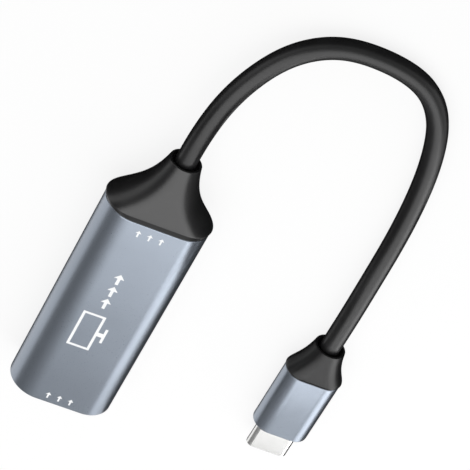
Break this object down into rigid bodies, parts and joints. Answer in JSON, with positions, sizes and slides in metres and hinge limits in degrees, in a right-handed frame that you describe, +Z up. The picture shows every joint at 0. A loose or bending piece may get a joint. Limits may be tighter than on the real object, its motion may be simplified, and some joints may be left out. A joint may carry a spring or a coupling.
{
  "type": "video capture box",
  "caption": "Flat oval aluminium video capture box with a video socket at its front and a short captive lead that ends in a reversible data plug.",
  "frame": {"origin": "on the table, under the middle of the box and its boot", "axes": "+X across the box, +Y from the socket towards the lead, +Z up"},
  "size_m": [0.0584, 0.0948, 0.0112],
  "materials": {
    "anodised_aluminium": "satin anodised, blue-grey",
    "boot_rubber": "matte moulded",
    "cable_jacket": "smooth matte",
    "black_plastic": "matte moulded",
    "plated_steel": "nickel plated",
    "gold_plate": "gold plated",
    "circuit_board": "solder mask",
    "chip_resin": "moulded resin",
    "silicone_pad": "soft matte",
    "tinned_copper": "tinned",
    "crystal_can": "plated lid",
    "ferrite": "sintered",
    "ceramic": "fired ceramic",
    "red_insulation": "smooth",
    "black_insulation": "smooth",
    "green_insulation": "smooth",
    "white_insulation": "smooth"
  },
  "bodies": {
    "box": {"housing_sleeve": "anodised_aluminium", "front_bezel": "black_plastic", "video_socket_shell": "plated_steel", "video_socket_core": "black_plastic", "video_socket_contacts": "gold_plate", "main_board": "circuit_board", "capture_chip": "chip_resin", "thermal_pad": "silicone_pad", "flash_chip": "chip_resin", "regulator": "chip_resin", "chip_leads": "tinned_copper", "crystal": "crystal_can", "power_inductor": "ferrite", "capacitors": "ceramic", "resistors": "chip_resin", "surge_protectors": "chip_resin", "cable_boot": "boot_rubber", "cable_crimp": "tinned_copper", "power_wire": "red_insulation", "ground_wire": "black_insulation", "data_wire_plus": "green_insulation", "data_wire_minus": "white_insulation", "cable": "cable_jacket", "plug_boot": "boot_rubber", "plug_sleeve": "anodised_aluminium", "plug_insert": "black_plastic", "plug_shell": "plated_steel", "plug_core": "black_plastic", "plug_contacts_upper": "gold_plate", "plug_contacts_lower": "gold_plate", "plug_midplate": "plated_steel", "plug_board": "circuit_board", "plug_resistors": "chip_resin", "plug_crimp": "tinned_copper", "plug_power_wire": "red_insulation", "plug_ground_wire": "black_insulation", "plug_data_wire_plus": "green_insulation", "plug_data_wire_minus": "white_insulation"},
    "latch_left": {"plug_latch_left": "plated_steel"},
    "latch_right": {"plug_latch_right": "plated_steel"}
  },
  "joints": [
    {"name": "latch_left_flex", "type": "hinge", "parent": "box", "child": "latch_left", "pos_m": [0.03874, -0.0239, 0.00335], "axis": [0, 0, -1], "range_deg": [0, 3.3], "stiffness_Nm_per_rad": 0.2},
    {"name": "latch_right_flex", "type": "hinge", "parent": "box", "child": "latch_right", "pos_m": [0.04566, -0.0239, 0.00335], "axis": [0, 0, 1], "range_deg": [0, 3.3], "stiffness_Nm_per_rad": 0.2}
  ]
}
